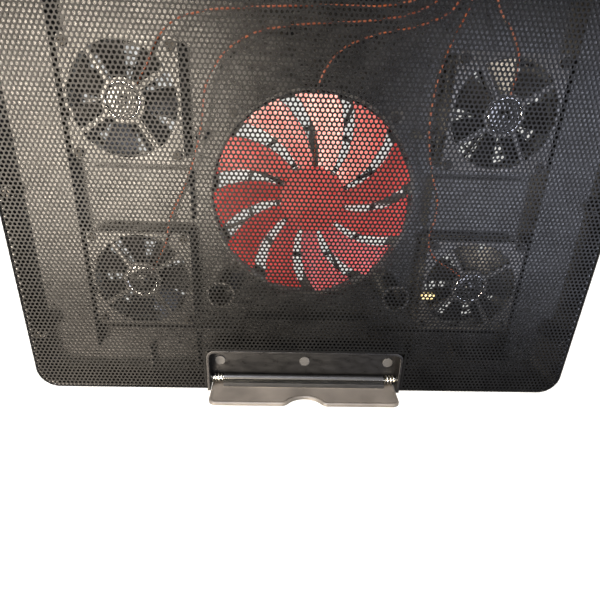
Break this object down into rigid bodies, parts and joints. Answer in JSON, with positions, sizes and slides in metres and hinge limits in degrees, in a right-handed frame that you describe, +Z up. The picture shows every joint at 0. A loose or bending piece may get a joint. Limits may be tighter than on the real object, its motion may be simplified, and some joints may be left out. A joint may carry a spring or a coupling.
{
  "type": "laptop cooling pad",
  "caption": "Flat cooling pad for a laptop: perforated steel panel over fans in a moulded tray, sprung stopper flap at the front, fold-out rear legs.",
  "frame": {"origin": "on the table under the middle of the pad", "axes": "+Z up, +X to the right of a person sitting at the laptop, +Y away from them; the stopper flap is at -Y"},
  "size_m": [0.408, 0.2988, 0.0452],
  "materials": {
    "tray_plastic": "moulded, fine texture",
    "panel_steel": "semi-gloss black powder coat",
    "plated_steel": "plated",
    "blackened_screw_steel": "blackened",
    "well_plastic": "moulded, satin",
    "bumper_rubber": "matt",
    "flap_plastic": "moulded, satin",
    "polished_rod_steel": "polished",
    "spring_wire": "bright drawn wire",
    "fan_frame_plastic": "moulded",
    "red_impeller_plastic": "moulded, translucent red",
    "black_impeller_plastic": "moulded",
    "sintered_bronze": "oiled",
    "shaft_steel": "ground",
    "core_laminations": "stacked sheet",
    "ferrite": "bonded magnet",
    "circuit_board": "solder mask",
    "chromed_cap": "plated ring round a glossy black cap",
    "light_lens": "clear lens",
    "wheel_plastic": "ribbed",
    "foot_rubber": "matt",
    "leg_plastic": "moulded",
    "red_wire": "soft insulation",
    "black_wire": "soft insulation"
  },
  "bodies": {
    "base": {"bottom_tray": "tray_plastic", "wire_clips": "tray_plastic", "mesh_panel": "panel_steel", "panel_nuts": "plated_steel", "leg_pins": "plated_steel", "case_screws": "blackened_screw_steel", "well_screws": "blackened_screw_steel", "big_fan_screws": "blackened_screw_steel", "small_fan_screws": "blackened_screw_steel", "stopper_well": "well_plastic", "well_bumpers": "bumper_rubber", "hinge_rod": "polished_rod_steel", "left_torsion_spring": "spring_wire", "right_torsion_spring": "spring_wire", "big_fan_frame": "fan_frame_plastic", "big_fan_bearing": "sintered_bronze", "front_left_fan_bearing": "sintered_bronze", "front_right_fan_bearing": "sintered_bronze", "rear_left_fan_bearing": "sintered_bronze", "rear_right_fan_bearing": "sintered_bronze", "big_fan_stator": "core_laminations", "front_left_fan_stator": "core_laminations", "front_right_fan_stator": "core_laminations", "rear_left_fan_stator": "core_laminations", "rear_right_fan_stator": "core_laminations", "front_left_fan_frame": "fan_frame_plastic", "front_right_fan_frame": "fan_frame_plastic", "rear_left_fan_frame": "fan_frame_plastic", "rear_right_fan_frame": "fan_frame_plastic", "big_fan_board": "circuit_board", "controller_board": "circuit_board", "small_fan_caps": "chromed_cap", "fan_light": "light_lens", "power_led": "light_lens", "usb_sockets": "plated_steel", "speed_dial_body": "tray_plastic", "rubber_feet": "foot_rubber", "red_leads": "red_wire", "black_leads": "black_wire"},
    "big_rotor": {"big_fan_impeller": "red_impeller_plastic", "big_fan_magnet_ring": "ferrite", "big_fan_shaft": "shaft_steel"},
    "flap": {"stopper_flap": "flap_plastic"},
    "left_leg_body": {"left_leg": "leg_plastic", "left_leg_pad": "foot_rubber"},
    "right_leg_body": {"right_leg": "leg_plastic", "right_leg_pad": "foot_rubber"},
    "wheel": {"speed_wheel": "wheel_plastic"},
    "front_left_fan_rotor": {"front_left_fan_impeller": "black_impeller_plastic", "front_left_fan_magnet_ring": "ferrite", "front_left_fan_shaft": "shaft_steel"},
    "front_right_fan_rotor": {"front_right_fan_impeller": "black_impeller_plastic", "front_right_fan_magnet_ring": "ferrite", "front_right_fan_shaft": "shaft_steel"},
    "rear_left_fan_rotor": {"rear_left_fan_impeller": "black_impeller_plastic", "rear_left_fan_magnet_ring": "ferrite", "rear_left_fan_shaft": "shaft_steel"},
    "rear_right_fan_rotor": {"rear_right_fan_impeller": "black_impeller_plastic", "rear_right_fan_magnet_ring": "ferrite", "rear_right_fan_shaft": "shaft_steel"}
  },
  "joints": [
    {"name": "big_fan_spin", "type": "hinge", "parent": "base", "child": "big_rotor", "pos_m": [0, 0, 0.012], "axis": [0, 0, 1], "continuous": true},
    {"name": "front_left_fan_spin", "type": "hinge", "parent": "base", "child": "front_left_fan_rotor", "pos_m": [-0.118, -0.06, 0.012], "axis": [0, 0, 1], "continuous": true},
    {"name": "front_right_fan_spin", "type": "hinge", "parent": "base", "child": "front_right_fan_rotor", "pos_m": [0.118, -0.06, 0.012], "axis": [0, 0, 1], "continuous": true},
    {"name": "rear_left_fan_spin", "type": "hinge", "parent": "base", "child": "rear_left_fan_rotor", "pos_m": [-0.118, 0.0565, 0.012], "axis": [0, 0, 1], "continuous": true},
    {"name": "rear_right_fan_spin", "type": "hinge", "parent": "base", "child": "rear_right_fan_rotor", "pos_m": [0.118, 0.0565, 0.012], "axis": [0, 0, 1], "continuous": true},
    {"name": "flap_fold", "type": "hinge", "parent": "base", "child": "flap", "pos_m": [0, -0.141, 0.0198], "axis": [1, 0, 0], "range_deg": [-90, 0], "stiffness_Nm_per_rad": 0.03, "springref_deg": 28.65},
    {"name": "left_leg_fold", "type": "hinge", "parent": "base", "child": "left_leg_body", "pos_m": [-0.174, 0.114, 0.0065], "axis": [1, 0, 0], "range_deg": [0, 100]},
    {"name": "right_leg_fold", "type": "hinge", "parent": "base", "child": "right_leg_body", "pos_m": [0.174, 0.114, 0.0065], "axis": [1, 0, 0], "range_deg": [0, 100]},
    {"name": "speed_wheel_turn", "type": "hinge", "parent": "base", "child": "wheel", "pos_m": [0.08, 0.1416, 0.0125], "axis": [0, 0, 1], "range_deg": [0, 270]}
  ]
}
